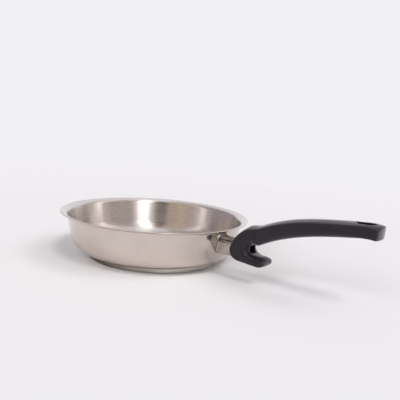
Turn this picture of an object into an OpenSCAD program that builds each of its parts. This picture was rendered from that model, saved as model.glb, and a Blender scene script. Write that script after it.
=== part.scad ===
// Frying pan with a polished steel bowl, a thick sandwich base and a moulded handle.
// The origin is the centre of the underside of the base, +Z is up and the handle points along +X.

/* [Pan] */
// Outer diameter of the pouring lip
rim_d = 264; // [240:1:300]
// Height of the lip above the table
pan_h = 62; // [58:0.5:75]
// Thickness of the pan's steel sheet
sheet_t = 0.9; // [0.7:0.1:1.4]
// Lean of the wall from upright, in degrees
wall_lean = 12; // [8:0.5:15]
// Outer radius of the corner between the floor and the wall
corner_r = 24; // [16:0.5:26]
// Radius of the tight bend under the lip
lip_bend_r = 5; // [3:0.5:7]
// Radius of the wide roll that flattens the lip
lip_roll_r = 19; // [14:0.5:22]
// Slope of the lip where the bend meets the roll, in degrees
lip_in_slope = 25; // [18:1:32]
// Slope of the lip at its cut edge, in degrees
lip_out_slope = 4; // [2:0.5:8]

/* [Base] */
// Height of the whole base under the bowl
base_h = 8; // [6:0.25:9]
// Thickness of the steel cap round the base
cap_t = 0.8; // [0.6:0.1:1.2]
// Outer radius of the cap's bottom edge
cap_edge_r = 2.2; // [1.6:0.1:3]
// Distance from the start of the bowl's corner in to the side of the base
base_inset = 0.2; // [0.1:0.1:3]
// Groove left between the cap and the bowl
cap_groove = 0.3; // [0.2:0.05:0.6]

/* [Bracket] */
// Width of the steel bracket sleeve
sleeve_w = 28; // [24:0.5:32]
// Height of the steel bracket sleeve
sleeve_h = 19.5; // [18:0.5:21]
// Wall thickness of the bracket sleeve
sleeve_t = 1.2; // [1:0.1:1.6]
// Outer corner radius of the bracket sleeve
sleeve_corner_r = 4.5; // [3:0.5:6]
// Distance from the rim's top down to the axis of the sleeve
sleeve_drop = 21.8; // [21:0.2:24]
// Free length of the sleeve between the wall and the handle
sleeve_gap = 19; // [15:0.25:22]
// Length of the sleeve that enters the handle
sleeve_insert = 11; // [9:0.5:12]
// Thickness of the anchor plate inside the sleeve
plate_t = 2.5; // [2:0.1:3]
// Distance from the handle's nose to the outer face of the anchor plate
plate_in = 3.5; // [2:0.25:5]
// Outer diameter of the threaded boss
boss_d = 9; // [8:0.25:10]
// Diameter of the flange of the threaded boss
boss_flange_d = 12; // [11:0.25:13]
// Thickness of the flange of the threaded boss
boss_flange_t = 1.5; // [1:0.1:2]
// Length of the threaded boss behind its flange
boss_len = 12; // [10:0.5:14]

/* [Fasteners] */
// Diameter of the handle screw
screw_d = 5; // [4:0.25:5.5]
// Diameter of the head of the handle screw
screw_head_d = 8.6; // [8:0.1:9]
// Height of the head of the handle screw
screw_head_h = 3.2; // [2.6:0.1:3.6]
// Upward tilt of the screw from the pan to its head, in degrees
screw_tilt = 6; // [3:0.5:9]
// Outer diameter of the flat washer
washer_d = 12; // [11:0.5:13]
// Thickness of the flat washer
washer_t = 1; // [0.8:0.1:1.2]
// Outer diameter of the spring washer
spring_d = 8.8; // [8.4:0.1:9.2]
// Thickness of the spring washer
spring_t = 1.3; // [1:0.1:1.5]
// Width of the split in the spring washer
spring_split = 1; // [0.8:0.1:1.4]
// Width of one arm of the cross recess in the screw head
recess_w = 1.1; // [0.9:0.1:1.3]
// Span of the cross recess in the screw head
recess_span = 5; // [4.4:0.1:5.4]
// Depth of the cross recess in the screw head
recess_depth = 1.9; // [1.5:0.1:2.1]

/* [Handle] */
// Length of the handle from its nose to its end
grip_len = 180; // [165:0.5:200]
// Height from the handle's belly up to the sweep of its top at the end
grip_rise = 76.8; // [68:0.2:82]
// Height from the handle's belly up to the thumb rest
root_rise = 47.9; // [46.5:0.2:49.5]
// Length of the finger guard from the nose to its tip
guard_len = 48.4; // [46.4:0.2:52]
// Distance from the axis of the sleeve down to the handle's belly
belly_drop = 15.2; // [15:0.1:16]
// Thickness of the handle at its end
end_h = 12.5; // [11.5:0.1:14.5]
// Distance that the end droops below the sweep of the arm
end_droop = 3.7; // [0.5:0.1:4.5]
// Distance that the middle of the end bulges out beyond its corners
end_bulge = 2.5; // [0.5:0.25:4]
// Distance that the end's lower edge stands back from its upper edge
end_lean = 0.6; // [0:0.2:3]
// Thickness of the handle where it leaves the thumb rest
arm_h = 22; // [19:0.25:22.5]
// Width of the handle at its end
end_w = 29; // [27:0.5:31]
// Width of the handle at its middle
arm_w = 26.5; // [25:0.5:28.5]
// Width of the finger guard
guard_w = 27; // [25:0.5:29]
// Wall of the handle beside the sleeve
mouth_wall = 2.3; // [2:0.1:3]
// Rounding of the handle's upper edges
top_edge_r = 1.6; // [1:0.2:3]
// Rounding of the arm's lower edges
low_edge_r = 6.4; // [4:0.2:7]
// Rounding of the lower edges at the end of the handle
low_end_r = 1.4; // [1:0.2:5]
// Rounding of the edges round the finger notch
notch_edge_r = 8; // [2:0.2:9]
// Width of that rounding on each side of the handle
notch_edge_w = 12; // [4:0.5:12.5]
// Rounding of the end of the handle
end_edge_r = 1.5; // [1:0.1:3]
// Crown of the handle's arched top
top_crown = 3.2; // [1:0.2:4]
// Crown of the front of the nose
nose_crown = 2; // [0.5:0.25:3]
// Crown of the belly under the finger guard
belly_crown = 0.8; // [0.4:0.1:1.2]
// Depth from the nose to the seat of the flat washer
seat_in = 15; // [14.5:0.25:16]
// Height of the seat's centre above the axis of the sleeve
seat_rise = 2; // [1.6:0.1:2.6]

/* [End cap] */
// Width of the hollow core inside the handle
core_w = 15; // [12:0.5:16]
// Height of the hollow core inside the handle
core_h = 8; // [7:0.25:8.5]
// Slant of the seam between handle and end cap, in degrees
seam_slant = 40; // [24:1:42]
// Length of the tongue on the end cap
tongue_len = 12; // [9:0.5:15]
// Radius of the snap rib on the tongue
rib_r = 0.8; // [0.5:0.1:1]
// Length of the hanging slot
slot_len = 22.5; // [19:0.5:23]
// Width of the hanging slot
slot_w = 17; // [12:0.5:18]
// Distance from the end of the handle to the middle of the hanging slot
slot_inset = 19.1; // [17:0.1:20]

/* [Fits] */
// Gap between pieces that slide into each other
fit = 0.3; // [0.2:0.05:0.4]
// Gap left at a welded seat
weld_gap = 0.15; // [0.1:0.05:0.25]
// Gap round the thread and in the washers' holes
thread_fit = 0.12; // [0.08:0.02:0.2]
// Clearance round the screw in the handle
screw_fit = 0.4; // [0.3:0.05:0.6]

/* [Hidden] */

// Extra length that lets a cut pass through a surface
overrun = 5;
// Smoothness of round surfaces and number of steps in each stretch of an outline
$fn = 96;
arc_steps = 6;
arm_steps = 20;
root_steps = 6;
corner_steps = 5;
arch_steps = 4;
under_steps = 2;

// Lip: centres of the wide roll and the tight bend, and the top of the straight wall
roll_c = [rim_d / 2 + lip_roll_r * sin(lip_out_slope), pan_h - (lip_roll_r + sheet_t) * cos(lip_out_slope)];
bend_c = roll_c + (lip_roll_r - lip_bend_r) * [-sin(lip_in_slope), cos(lip_in_slope)];
wall_top = bend_c + lip_bend_r * [-cos(wall_lean), sin(wall_lean)];
// Corner: height of the foot of the wall, and the centre of the round corner
wall_foot_z = base_h + corner_r * (1 - sin(wall_lean));
wall_foot_x = wall_top[0] - (wall_top[1] - wall_foot_z) * tan(wall_lean);
corner_c = [wall_foot_x - corner_r * cos(wall_lean), base_h + corner_r];
base_r = corner_c[0] - base_inset;

// Bracket: height of its axis, and the wall's radius there
sleeve_z = pan_h - sleeve_drop;
wall_r = wall_top[0] - (wall_top[1] - sleeve_z) * tan(wall_lean);
nose_x = wall_r + sleeve_gap;
sleeve_end_x = nose_x + sleeve_insert;
plate_x = nose_x + plate_in;

// Handle: its belly, its ends, and the half width round the sleeve
belly_z = sleeve_z - belly_drop;
end_x = nose_x + grip_len;
nose_half = sleeve_w / 2 + fit + mouth_wall;
seat = [nose_x + seat_in, 0, sleeve_z + seat_rise];
bore_r = max(washer_d, spring_d, screw_head_d) / 2 + screw_fit;
hole_r = screw_d / 2 + screw_fit;

// Outline of the handle's arm, as shares of the handle's length and rise beyond the thumb rest
arm_bend_shares = [[1, 1], [0.62, 0.728], [0.33, 0.781], [0, 0]];
// Shares of the arm's curve over which the end droops and over which its bulge fades out
droop_share = 0.15;
bulge_share = 0.3;
// Sizes of the rings that close the bulging end, as shares of its outline
end_face_shares = [0.15, 0.45, 0.75];
// Outline of the outer side of the handle's root, as shares of the guard's length and the root's rise:
// thumb rest, shoulder, nose, belly and tip, each a cubic curve that starts where the last one ended
outer_root_shares = [
    [[0.762, 1], [0.69, 0.975], [0.61, 0.955], [0.53, 0.952]],
    [[0.53, 0.952], [0.44, 0.955], [0.16, 0.785], [0.033, 0.44]],
    [[0.033, 0.44], [-0.015, 0.31], [0.004, 0.13], [0.24, 0.07]],
    [[0.24, 0.07], [0.423, 0.048], [0.626, 0.016], [0.8, 0]],
    [[0.8, 0], [0.92, 0], [1, 0.05], [1, 0.133]]
];
// The inner side in the same shares: upper corner of the notch, lower corner, top of the guard and tip
inner_root_shares = [
    [[0.64, 0.54], [0.585, 0.533], [0.515, 0.5], [0.5, 0.415]],
    [[0.5, 0.415], [0.494, 0.366], [0.515, 0.318], [0.575, 0.282]],
    [[0.575, 0.282], [0.65, 0.257], [0.73, 0.256], [0.809, 0.256]],
    [[0.809, 0.256], [0.911, 0.256], [1, 0.235], [1, 0.133]]
];
// The tip's last ring lies at this share of its curve
tip_share = 0.94;
// Places of the seam and of the core's inner end, as shares of the arm's curve from its end
seam_share = 0.197;
core_share = 0.6;

function mix(a, b, t) = a + (b - a) * t;
function smooth(t) = t * t * (3 - 2 * t);
function bezier(p, t) =
    p[0] * pow(1 - t, 3) + 3 * p[1] * t * pow(1 - t, 2) + 3 * p[2] * t * t * (1 - t) + p[3] * pow(t, 3);
function arc(c, r, a0, a1) = [
    for (i = [0:arc_steps]) c + r * [cos(mix(a0, a1, i / arc_steps)), sin(mix(a0, a1, i / arc_steps))]
];

// Line of the bowl's sheet from the axis to the lip's edge, moved inwards by off
function sheet_line(off) = concat(
    [[0, base_h + off]],
    arc(corner_c, corner_r - off, -90, -wall_lean),
    arc(bend_c, lip_bend_r + off, 180 - wall_lean, 90 + lip_in_slope),
    arc(roll_c, lip_roll_r + off, 90 + lip_in_slope, 90 + lip_out_slope)
);
function backwards(line) = [for (i = [len(line) - 1:-1:0]) line[i]];

// Arm of the handle: a point of its top and of its underside, t being 0 at the end and 1 at the root
root_point = [nose_x + outer_root_shares[0][0][0] * guard_len, belly_z + root_rise];
arm_size = [end_x - root_point[0], belly_z + grip_rise - root_point[1]];
arm_curve = [for (s = arm_bend_shares) root_point + [s[0] * arm_size[0], s[1] * arm_size[1]]];
function faded(t, share) = pow(max(0, 1 - t / share), 2);
function arm_top(t) = bezier(arm_curve, t) - [0, end_droop * faded(t, droop_share)];
function arm_low(t) = arm_top(t) - [mix(end_lean, 0, t), mix(end_h, arm_h, t)];
function arm_mid(t) = (arm_top(t) + arm_low(t)) / 2;
function arm_half(t) = t < 0.5
    ? mix(end_w, arm_w, smooth(2 * t)) / 2
    : mix(arm_w / 2, mix(arm_w / 2, nose_half, 0.25), smooth(2 * t - 1));

// Root of the handle: the curves of its outer and inner side, in the model's own frame.
// The notch's roof is a straight line from the arm's underside to the notch's upper corner
function root_place(s) = [nose_x + s[0] * guard_len, belly_z + s[1] * root_rise];
outer_root = [for (c = outer_root_shares) [for (s = c) root_place(s)]];
notch_start = root_place(inner_root_shares[0][0]);
// Length of the bore for the screw's head, from its seat out into the notch
bore_len = inner_root_shares[1][0][0] * guard_len - seat_in + bore_r / 2;
notch_roof = [for (i = [0:3]) mix(arm_low(1), notch_start, i / 3)];
inner_root = concat([notch_roof], [for (c = inner_root_shares) [for (s = c) root_place(s)]]);
// Half width and crown at the ends of the root's five stretches
root_half = [arm_half(1), mix(arm_w / 2, nose_half, 0.6), nose_half, nose_half, guard_w / 2];
root_crown = [top_crown, top_crown, nose_crown, nose_crown, belly_crown];

// Distance that a point of the end stands back from its middle, y being its distance to the side
function set_back(y) = end_bulge * pow(2 * y / end_w, 2);

// One ring round the handle between an outer and an inner point: the inner corners are quarter
// ovals, w_in wide and r_in high, and the outer side is an arch that leaves its rounded edges
// without a kink. Near the end the ring is bowed by a share of the end's bulge
function ring(outer, inner, half, r_out, r_in, w_in, crown, bowed = 0) =
    let (h = norm(outer - inner), u = (outer - inner) / h)
    let (ro = min(r_out, 0.48 * h, 0.9 * half), ri = min(r_in, 0.8 * (h - ro), 0.9 * half))
    let (wi = min(w_in, 0.9 * half), slope = atan(2 * min(crown, 0.3 * h) / half))
    let (arch_y = half - ro + ro * sin(slope), arch_z = h - ro + ro * cos(slope))
    let (half_ring = concat(
        [for (i = [0:under_steps - 1]) [(half - wi) * i / under_steps, 0]],
        [for (i = [0:corner_steps]) let (a = -90 + 90 * i / corner_steps)
            [half - wi + wi * cos(a), ri + ri * sin(a)]],
        [for (i = [0:corner_steps]) let (a = (90 - slope) * i / corner_steps)
            [half - ro + ro * cos(a), h - ro + ro * sin(a)]],
        [for (i = [1:arch_steps]) let (y = 1 - i / arch_steps)
            [y * arch_y, arch_z + arch_y * tan(slope) / 2 * (1 - y * y)]]
    ))
    let (mirrored = [for (i = [len(half_ring) - 2:-1:1]) [-half_ring[i][0], half_ring[i][1]]])
    [
        for (p = concat(half_ring, mirrored))
            [inner[0] + u[0] * p[1] - bowed * set_back(p[0]), p[0], inner[1] + u[1] * p[1]]
    ];

// Rings of the rounded end and its face, of the arm, and of the root down to the guard's tip
end_share = end_edge_r / (3 * (arm_curve[0][0] - arm_curve[1][0]));
end_rings = [
    for (a = [90:-30:30])
        let (back = [end_edge_r * (1 - sin(a)), 0], inset = end_edge_r * (1 - cos(a)))
        ring(arm_top(0) - back - [0, inset], arm_low(0) - back + [0, inset],
            end_w / 2 - inset, top_edge_r, low_end_r, low_end_r, top_crown, 1)
];
end_middle = [arm_mid(0)[0], 0, arm_mid(0)[1]];
end_face_rings = [
    for (s = end_face_shares)
        [
            for (p = end_rings[0])
                let (flat = p + [set_back(p[1]), 0, 0])
                mix(end_middle, flat, s) - [set_back(s * p[1]), 0, 0]
        ]
];
arm_rings = [
    for (i = [0:arm_steps])
        let (t = mix(end_share, 1, i / arm_steps), r = mix(low_end_r, low_edge_r, smooth(min(1, 3 * t))))
        ring(arm_top(t), arm_low(t), arm_half(t), top_edge_r, r, r, top_crown, faded(t, bulge_share))
];
root_rings = [
    for (k = [0:3])
        for (i = [1:root_steps])
            let (t = i / root_steps)
            ring(bezier(outer_root[k], t), bezier(inner_root[k], t),
                mix(root_half[k], root_half[k + 1], smooth(t)),
                top_edge_r, k == 0 ? mix(low_edge_r, notch_edge_r, t) : notch_edge_r,
                k == 0 ? mix(low_edge_r, notch_edge_w, t) : notch_edge_w,
                mix(root_crown[k], root_crown[k + 1], t))
];
tip_rings = [
    for (i = [1:root_steps])
        let (t = tip_share * i / root_steps)
        ring(bezier(outer_root[4], t), bezier(inner_root[4], t),
            guard_w / 2 * sqrt(1 - pow(t, 3)), top_edge_r, notch_edge_r, notch_edge_w, belly_crown)
];

// Solid whose skin runs over a list of rings with the same number of points, and ends in a fan
// of triangles round the middle of the first and of the last ring
module skin(rings) {
    n = len(rings[0]);
    last = len(rings) - 1;
    sides = [
        for (i = [0:last - 1])
            for (j = [0:n - 1])
                for (f = [
                    [i * n + j, (i + 1) * n + (j + 1) % n, i * n + (j + 1) % n],
                    [i * n + j, (i + 1) * n + j, (i + 1) * n + (j + 1) % n]
                ]) f
    ];
    poles = [for (r = [rings[0], rings[last]]) [for (p = r) 1] * r / n];
    first_fan = [for (j = [0:n - 1]) [j, (j + 1) % n, (last + 1) * n]];
    last_fan = [for (j = [0:n - 1]) [last * n + (j + 1) % n, last * n + j, (last + 1) * n + 1]];
    points = concat([for (r = rings) for (p = r) p], poles);
    polyhedron(points = points, faces = concat(sides, first_fan, last_fan), convexity = 6);
}

// Outer shape of handle and end cap together
module handle_form() {
    skin(concat(end_face_rings, end_rings, arm_rings, root_rings, tip_rings));
}

// Everything beyond the slanted seam, moved along the handle by shift
module beyond_seam(shift) {
    seam = arm_mid(seam_share);
    reach = grip_len + grip_rise;
    translate([seam[0], 0, seam[1]]) rotate([0, -seam_slant, 0])
        translate([shift, -reach / 2, -reach / 2]) cube(reach);
}

// Places its children at the mouth of the core, with +X along the core towards the end cap
module at_core_mouth() {
    seam = arm_mid(seam_share);
    inside = arm_mid(core_share);
    translate([seam[0], 0, seam[1]])
        rotate([0, -atan2(seam[1] - inside[1], seam[0] - inside[0]), 0]) children();
}

// Places its children at the seat of the washer, with +Z along the screw towards its head
module at_seat() {
    translate(seat) rotate([0, 90 - screw_tilt, 0]) children();
}

// Rectangle with true round corners, centred
module round_rect(w, h, r) {
    square([w - 2 * r, h], center = true);
    square([w, h - 2 * r], center = true);
    for (x = [-1, 1]) for (y = [-1, 1]) translate([x * (w / 2 - r), y * (h / 2 - r)]) circle(r);
}

// Half section of a disc whose lower edge is rounded
module disc_section(r, h, edge) {
    square([r - edge, h]);
    translate([0, edge]) square([r, h - edge]);
    translate([r - edge, edge]) circle(edge);
}

// Bar along X with the sleeve's section, grown by grow, between two places
module sleeve_bar(x0, x1, grow) {
    translate([x0, 0, sleeve_z]) rotate([90, 0, 90]) linear_extrude(x1 - x0)
        round_rect(sleeve_w + 2 * grow, sleeve_h + 2 * grow, sleeve_corner_r + grow);
}

// Deep-drawn bowl with its flared pouring lip
module pan_body() {
    color("silver") rotate_extrude()
        polygon(concat(sheet_line(0), backwards(sheet_line(sheet_t))));
}

// Aluminium disc that spreads the heat
module base_core() {
    color("lightgray") translate([0, 0, cap_t]) rotate_extrude()
        disc_section(base_r - cap_t - weld_gap, base_h - cap_t, cap_edge_r - cap_t);
}

// Steel cap pressed round the disc
module base_cap() {
    color("darkgray") rotate_extrude() difference() {
        disc_section(base_r, base_h - cap_groove, cap_edge_r);
        translate([0, cap_t]) disc_section(base_r - cap_t, base_h, cap_edge_r - cap_t);
    }
}

// Steel sleeve, cut to the curve of the wall at one end
module bracket_sleeve() {
    start_x = wall_r - sleeve_h;
    color("silver") difference() {
        sleeve_bar(start_x, sleeve_end_x, 0);
        sleeve_bar(start_x - overrun, sleeve_end_x + overrun, -sleeve_t);
        rotate_extrude() polygon(concat(sheet_line(-weld_gap), [[0, roll_c[1] + lip_roll_r]]));
    }
}

// Threaded boss with a flange, welded through the anchor plate
module threaded_boss() {
    color("gray") at_seat() {
        flange_z = boss_top_z();
        difference() {
            union() {
                translate([0, 0, flange_z - boss_flange_t]) cylinder(d = boss_flange_d, h = boss_flange_t);
                translate([0, 0, flange_z - boss_flange_t - boss_len]) cylinder(d = boss_d, h = boss_len);
            }
            translate([0, 0, flange_z - boss_flange_t - boss_len - overrun])
                cylinder(r = screw_d / 2 + thread_fit, h = boss_len + boss_flange_t + 2 * overrun);
        }
    }
}

// Height of the boss's outer face on the screw's axis: its tilted flange stands clear of the plate
function boss_top_z() =
    (plate_x - seat[0]) / cos(screw_tilt) + boss_flange_t + weld_gap + boss_flange_d / 2 * tan(screw_tilt);

// Plate welded into the sleeve, with a hole for the boss
module anchor_plate() {
    color("darkgray") difference() {
        sleeve_bar(plate_x - plate_t, plate_x, -sleeve_t - weld_gap);
        at_seat() translate([0, 0, -grip_len / 2]) cylinder(r = boss_d / 2 + weld_gap, h = grip_len);
    }
}

// Screw with a domed head and a cross recess
module handle_screw() {
    under_head = washer_t + spring_t;
    tip_z = boss_top_z() - boss_flange_t - boss_len;
    color("silver") at_seat() difference() {
        union() {
            translate([0, 0, tip_z]) cylinder(d = screw_d, h = under_head - tip_z);
            translate([0, 0, under_head]) cylinder(d = screw_head_d, h = screw_head_h / 2);
            translate([0, 0, under_head + screw_head_h / 2])
                cylinder(d1 = screw_head_d, d2 = screw_head_d / 2, h = screw_head_h / 2);
        }
        translate([0, 0, under_head + screw_head_h - recess_depth]) for (a = [0, 90]) rotate(a)
            translate([-recess_span / 2, -recess_w / 2, 0]) cube([recess_span, recess_w, screw_head_h]);
    }
}

// Ring of a washer, standing on the given height
module washer(outer_d, t, z) {
    translate([0, 0, z]) difference() {
        cylinder(d = outer_d, h = t);
        translate([0, 0, -overrun]) cylinder(r = screw_d / 2 + thread_fit, h = t + 2 * overrun);
    }
}

// Spring washer with its split
module spring_washer() {
    color("gray") at_seat() difference() {
        washer(spring_d, spring_t, washer_t);
        translate([0, -spring_split / 2, 0]) cube([spring_d, spring_split, washer_t + spring_t + overrun]);
    }
}

// Flat washer on the handle's seat
module flat_washer() {
    color("silver") at_seat() washer(washer_d, washer_t, 0);
}

// Moulded handle with its finger guard, its socket for the sleeve and its hollow core
module handle_grip() {
    core_run = norm(arm_mid(seam_share) - arm_mid(core_share));
    color("dimgray") difference() {
        handle_form();
        beyond_seam(-fit / 2);
        sleeve_bar(nose_x - sleeve_gap, sleeve_end_x + fit, fit);
        at_seat() translate([0, 0, -seat_in]) cylinder(r = hole_r, h = seat_in + overrun);
        at_seat() cylinder(r = bore_r, h = bore_len);
        at_core_mouth() {
            translate([-core_run, -core_w / 2, -core_h / 2]) cube([core_run + seat_in, core_w, core_h]);
            for (side = [-1, 1]) snap_rib(side * core_h / 2, rib_r + fit);
        }
        hanging_slot();
    }
}

// Cutter for the hanging slot, which goes down through the end cap and the slanted end of the handle
module hanging_slot() {
    slot_half = (slot_len - slot_w) / 2;
    translate([end_x - slot_inset, 0, arm_low(1)[1]]) {
        for (x = [-slot_half, slot_half]) translate([x, 0, 0]) cylinder(d = slot_w, h = grip_rise);
        translate([-slot_half, -slot_w / 2, 0]) cube([2 * slot_half, slot_w, grip_rise]);
    }
}

// Snap rib across the tongue, or its groove in the core
module snap_rib(z, r) {
    translate([-tongue_len / 2, core_w / 2, z]) rotate([90, 0, 0]) cylinder(r = r, h = core_w);
}

// Moulded end cap with the hanging slot and the tongue that snaps into the handle
module end_cap() {
    color("dimgray") difference() {
        intersection() {
            handle_form();
            union() {
                beyond_seam(fit / 2);
                at_core_mouth() {
                    translate([-tongue_len, fit - core_w / 2, fit - core_h / 2])
                        cube([tongue_len + core_h / 2, core_w - 2 * fit, core_h - 2 * fit]);
                    for (side = [-1, 1]) snap_rib(side * (core_h / 2 - fit), rib_r);
                }
            }
        }
        hanging_slot();
    }
}

pan_body();
base_core();
base_cap();
bracket_sleeve();
anchor_plate();
threaded_boss();
handle_screw();
spring_washer();
flat_washer();
handle_grip();
end_cap();
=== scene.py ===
from math import atan2, cos, pi, radians, sin, tan

import bpy
import numpy as np
from mathutils import Matrix, Vector


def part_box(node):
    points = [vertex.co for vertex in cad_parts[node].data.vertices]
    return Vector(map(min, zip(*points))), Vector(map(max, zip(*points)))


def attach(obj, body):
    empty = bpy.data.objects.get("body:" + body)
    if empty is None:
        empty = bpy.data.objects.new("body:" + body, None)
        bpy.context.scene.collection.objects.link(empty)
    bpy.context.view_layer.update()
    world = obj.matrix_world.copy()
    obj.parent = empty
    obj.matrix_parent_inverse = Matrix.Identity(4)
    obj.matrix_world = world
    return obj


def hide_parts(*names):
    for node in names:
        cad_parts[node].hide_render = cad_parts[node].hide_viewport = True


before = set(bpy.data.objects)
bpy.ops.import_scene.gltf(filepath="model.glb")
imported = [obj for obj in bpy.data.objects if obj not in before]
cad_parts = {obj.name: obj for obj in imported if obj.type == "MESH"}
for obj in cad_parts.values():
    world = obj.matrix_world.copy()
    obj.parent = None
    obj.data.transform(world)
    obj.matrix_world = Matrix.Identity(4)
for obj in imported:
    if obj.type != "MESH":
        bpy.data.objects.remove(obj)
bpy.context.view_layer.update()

# Camera: it stands in front of the pan, beside the end of the handle and three times as high as the rim,
# and looks slightly down. Its lens, place and tilt were fitted to the outlines of rim, base and handle.
camera = bpy.data.objects.new("camera", bpy.data.cameras.new("camera"))
camera.data.lens = 45
bpy.context.scene.collection.objects.link(camera)
camera_right = Vector((0.7997, 0.59535, 0.07772)).normalized()
camera_ahead = Vector((-0.58098, 0.79998, -0.15)).normalized()
camera_up = camera_right.cross(camera_ahead)
camera_place = Vector((0.46347, -0.53316, 0.19184))
turn = Matrix((camera_right, camera_up, -camera_ahead)).transposed()
camera.matrix_world = Matrix.Translation(camera_place) @ turn.to_4x4()
bpy.context.scene.camera = camera
bpy.context.scene.view_settings.view_transform = "Standard"


# Studio: an even pale room with three soft lights. The room itself is the white background, for the
# camera and for what the steel mirrors behind the pan.
def join_node(tree, kind, inputs=None, **settings):
    """Adds a shader node of that kind: inputs are values or sockets to join, settings its own choices."""
    node = tree.nodes.new("ShaderNode" + kind)
    for key, value in settings.items():
        setattr(node, key, value)
    for key, value in (inputs or {}).items():
        if isinstance(value, bpy.types.NodeSocket):
            tree.links.new(value, node.inputs[key])
        else:
            node.inputs[key].default_value = value
    return node


def new_material(name, **plain):
    """Material with a Principled shader whose plain values are set on its own sockets."""
    material = bpy.data.materials.new(name)
    material.use_nodes = True
    shader = material.node_tree.nodes["Principled BSDF"]
    for key, value in plain.items():
        shader.inputs[key.replace("_", " ").title().replace("Ior", "IOR")].default_value = value
    return material, material.node_tree, shader


background_colour = (0.885, 0.87, 0.895, 1)
room_level = 0.38

room = bpy.data.worlds.new("room")
bpy.context.scene.world = room
room.use_nodes = True
tree = room.node_tree
ray = join_node(tree, "LightPath").outputs
seen = join_node(tree, "Math", {0: ray["Is Camera Ray"], 1: ray["Is Glossy Ray"]}, operation="MAXIMUM")
seen = join_node(tree, "Math", {0: seen.outputs[0], 1: ray["Is Transmission Ray"]}, operation="MAXIMUM")
level = join_node(tree, "MapRange", {"Value": seen.outputs[0], "To Min": room_level, "To Max": 1.0})
backdrop = tree.nodes["Background"].inputs
backdrop["Color"].default_value = background_colour
tree.links.new(level.outputs[0], backdrop["Strength"])


def soft_light(name, azimuth, height, angle, energy, mirrored):
    """Light so far away that it lights the whole table evenly: its azimuth, its height over the table and
    its angular size in degrees. Only a mirrored one shows in the steel and the resin."""
    light = bpy.data.objects.new(name, bpy.data.lights.new(name, "SUN"))
    light.data.angle = radians(angle)
    light.data.energy = energy
    a, h = radians(azimuth), radians(height)
    towards = Vector((cos(a) * cos(h), sin(a) * cos(h), sin(h)))
    light.rotation_euler = towards.to_track_quat("Z", "Y").to_euler()
    light.visible_glossy = mirrored
    bpy.context.scene.collection.objects.link(light)
    return light


# The key stands high behind the camera, on its right. Steel and resin mirror it as a soft light spot
key = soft_light("key_light", azimuth=-28, height=55, angle=18, energy=0.90, mirrored=True)
key.data.color = (1, 0.985, 0.97)

# A weaker light from the right opens the shadows at the foot of the pan
soft_light("side_light", azimuth=25, height=50, angle=30, energy=0.75, mirrored=False)

# A wide and low fill from behind the camera, on its left, reaches under the rim
soft_light("fill_light", azimuth=-88, height=28, angle=40, energy=1.72, mirrored=False)

# Walls of the room: tall panels in a dome round the pan, open only on the side that lies behind it, each
# with its azimuths in degrees, level and tint. They show only in steel and resin, as upright bands.
dome_r = 1.5
dome_low = radians(-1)
dome_top = radians(78)
panel_columns = 9
panel_rows = 17
grey_wall = (1.0, 0.90, 0.87)
brown_wall = (1.0, 0.80, 0.68)
walls = (
    (79, 70, 0.50, grey_wall),
    (70, 52, 0.60, grey_wall),
    (52, 46, 1.30, grey_wall),
    (46, 39, 1.90, grey_wall),
    (39, 26, 0.54, grey_wall),
    (26, -13, 0.43, grey_wall),
    (-13, -20, 0.75, grey_wall),
    (-20, -39, 1.95, (1.0, 0.99, 0.97)),
    (-39, -47, 0.55, grey_wall),
    (-47, -67, 0.15, brown_wall),
    (-67, -84, 0.52, brown_wall),
    (-84, -92, 0.60, (1.0, 0.90, 0.56)),
    (-92, -112, 0.52, brown_wall),
    (-112, -121, 0.60, grey_wall),
    (-121, -131, 1.25, grey_wall),
    (-131, -150, 0.40, (0.98, 0.90, 0.92)),
    (-150, -205, 0.38, (0.93, 0.88, 0.95)),
)


def dome_panel(name, start, end, level, tint):
    """Piece of a sphere round the pan between two azimuths in degrees: the point at azimuth a and height
    angle e is r (cos e cos a, cos e sin a, sin e). It glows at its level and casts no light or shadow."""
    a, e = np.meshgrid(np.radians(np.linspace(start, end, panel_columns)),
                       np.linspace(dome_low, dome_top, panel_rows))
    points = dome_r * np.stack([np.cos(e) * np.cos(a), np.cos(e) * np.sin(a), np.sin(e)], axis=-1)
    k = np.arange(panel_rows - 1)[:, None] * panel_columns + np.arange(panel_columns - 1)
    above = k + panel_columns
    faces = np.stack([k, k + 1, above + 1, above], axis=-1).reshape(-1, 4)
    panel = bpy.data.objects.new(name, bpy.data.meshes.new(name))
    panel.data.from_pydata(points.reshape(-1, 3).tolist(), [], faces.tolist())
    material = bpy.data.materials.new(name)
    material.use_nodes = True
    material.node_tree.nodes.clear()
    glow = join_node(material.node_tree, "Emission", {"Color": (*tint, 1), "Strength": level})
    join_node(material.node_tree, "OutputMaterial", {"Surface": glow.outputs[0]})
    panel.data.materials.append(material)
    bpy.context.scene.collection.objects.link(panel)
    panel.visible_camera = panel.visible_diffuse = panel.visible_shadow = False


for k, (start, end, level, tint) in enumerate(walls):
    dome_panel(f"wall_{k}", start, end, level, tint)

# Floor: a wide table top with a pale matt coat. Away from the pan it fades into the background, so that
# no edge or horizon shows.
floor_r = 1.4
floor_fade_r = 0.3
floor_colour = (0.86, 0.845, 0.865, 1)

floor = bpy.data.objects.new("floor", bpy.data.meshes.new("floor"))
angle = np.linspace(0, 2 * pi, 96, endpoint=False)
floor_rim = np.stack([floor_r * np.cos(angle), floor_r * np.sin(angle), np.zeros_like(angle)], axis=1)
floor.data.from_pydata(floor_rim.tolist(), [], [list(range(len(floor_rim)))])
bpy.context.scene.collection.objects.link(floor)


def object_place(tree):
    """Socket with the place of a point of the piece, in metres."""
    return join_node(tree, "TexCoord").outputs["Object"]


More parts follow.
